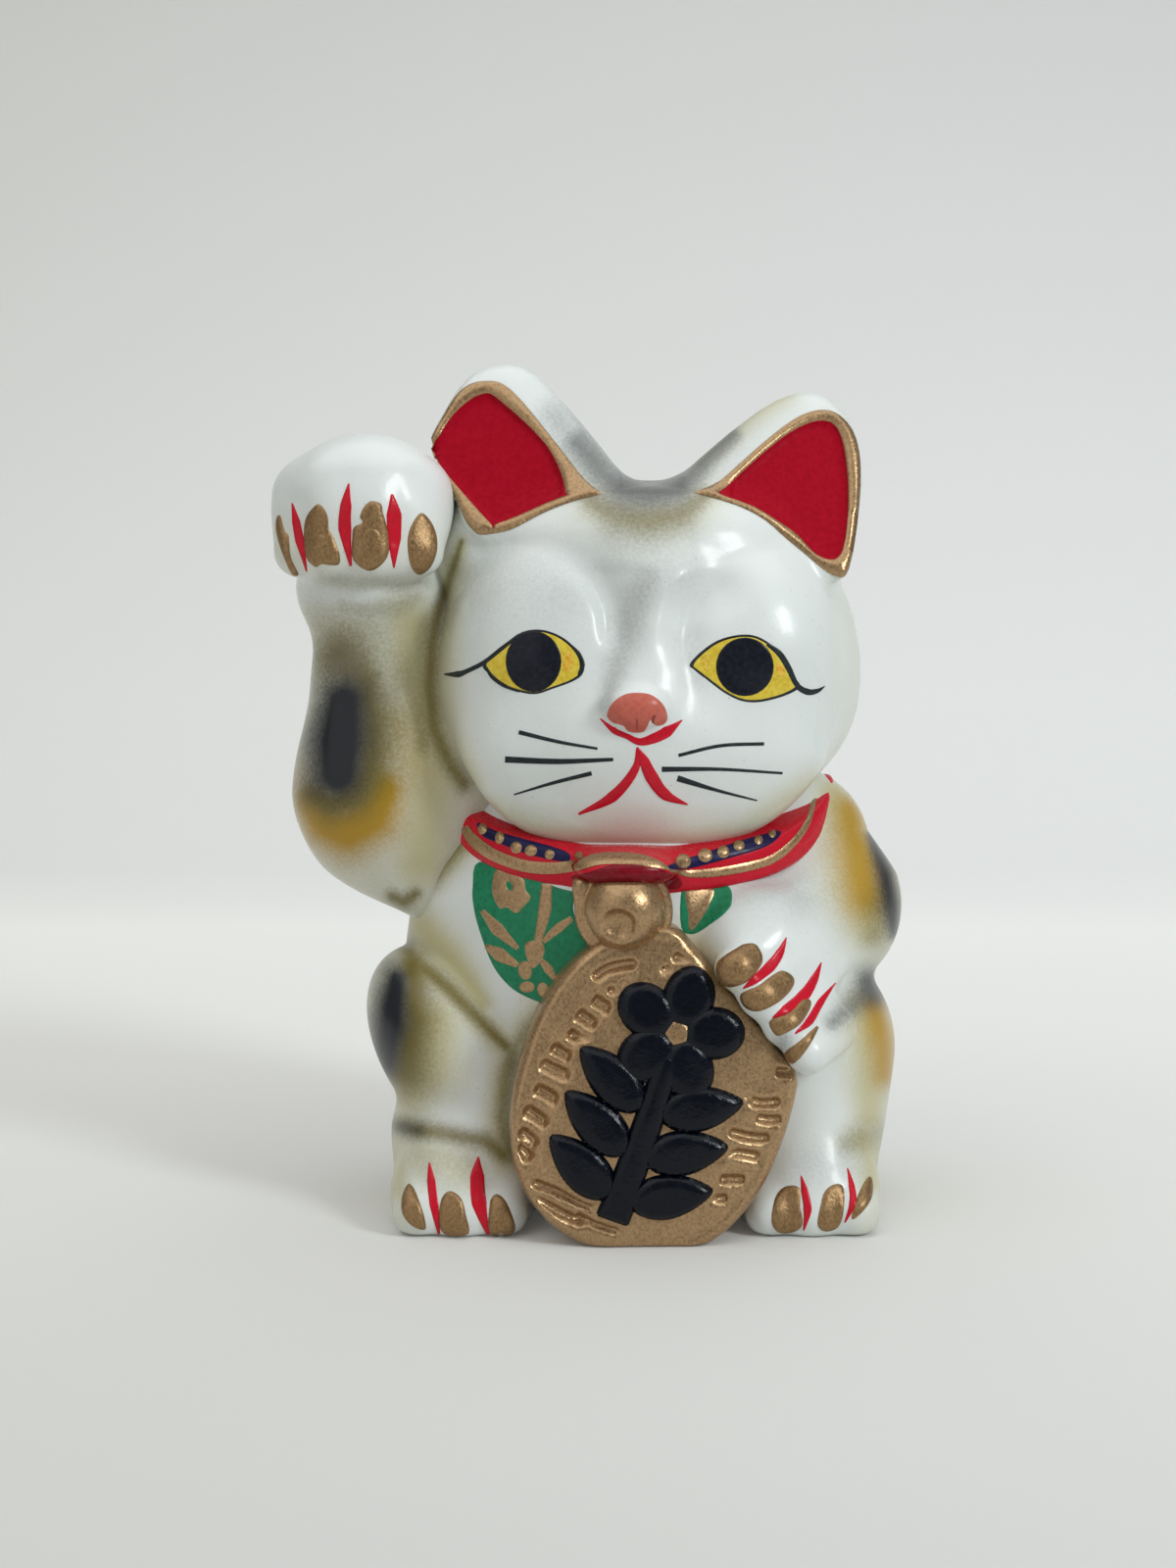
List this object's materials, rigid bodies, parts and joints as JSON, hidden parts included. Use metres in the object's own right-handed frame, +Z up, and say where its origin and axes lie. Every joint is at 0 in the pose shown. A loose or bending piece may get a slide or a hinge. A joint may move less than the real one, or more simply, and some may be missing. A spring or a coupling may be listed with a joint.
{
  "type": "lucky cat figurine",
  "caption": "Seated beckoning cat figurine in painted slip-cast ceramic: one paw raised, an oval gold coin held in the other, collar with a bell, flat base to stand on.",
  "frame": {"origin": "on the floor plane, under the middle of the body, at the underside of the base plate", "axes": "+Z up, -Y the cat's front, +X the cat's left, which is the viewer's right"},
  "size_m": [0.1136, 0.085, 0.1497],
  "materials": {
    "white_glaze": "gloss off-white glaze with fine grain, airbrushed soot-black, ochre and olive shading in its creases",
    "bisque": "matt unglazed clay",
    "gold_paint": "brushed bronze-gold paint over glazed clay, half gloss",
    "red_paint": "gloss red enamel paint",
    "black_paint": "gloss black enamel paint on raised relief",
    "pink_paint": "gloss salmon-pink enamel paint"
  },
  "bodies": {
    "root": {"body_shell": "white_glaze", "head_shell": "white_glaze", "right_ear": "white_glaze", "left_ear": "white_glaze", "right_thigh": "white_glaze", "right_foot": "white_glaze", "left_thigh": "white_glaze", "left_foot": "white_glaze", "tail": "white_glaze", "raised_arm": "white_glaze", "lowered_arm": "white_glaze", "lowered_paw": "white_glaze", "raised_paw": "white_glaze", "base_plate": "bisque", "koban": "gold_paint", "bell": "gold_paint", "raised_claw_1": "gold_paint", "raised_claw_2": "gold_paint", "raised_claw_3": "gold_paint", "raised_claw_4": "gold_paint", "lowered_claw_1": "gold_paint", "lowered_claw_2": "gold_paint", "lowered_claw_3": "gold_paint", "lowered_claw_4": "gold_paint", "right_foot_claw_1": "gold_paint", "right_foot_claw_2": "gold_paint", "right_foot_claw_3": "gold_paint", "left_foot_claw_1": "gold_paint", "left_foot_claw_2": "gold_paint", "left_foot_claw_3": "gold_paint", "collar": "red_paint", "koban_ornament": "black_paint", "nose": "pink_paint"}
  },
  "joints": []
}
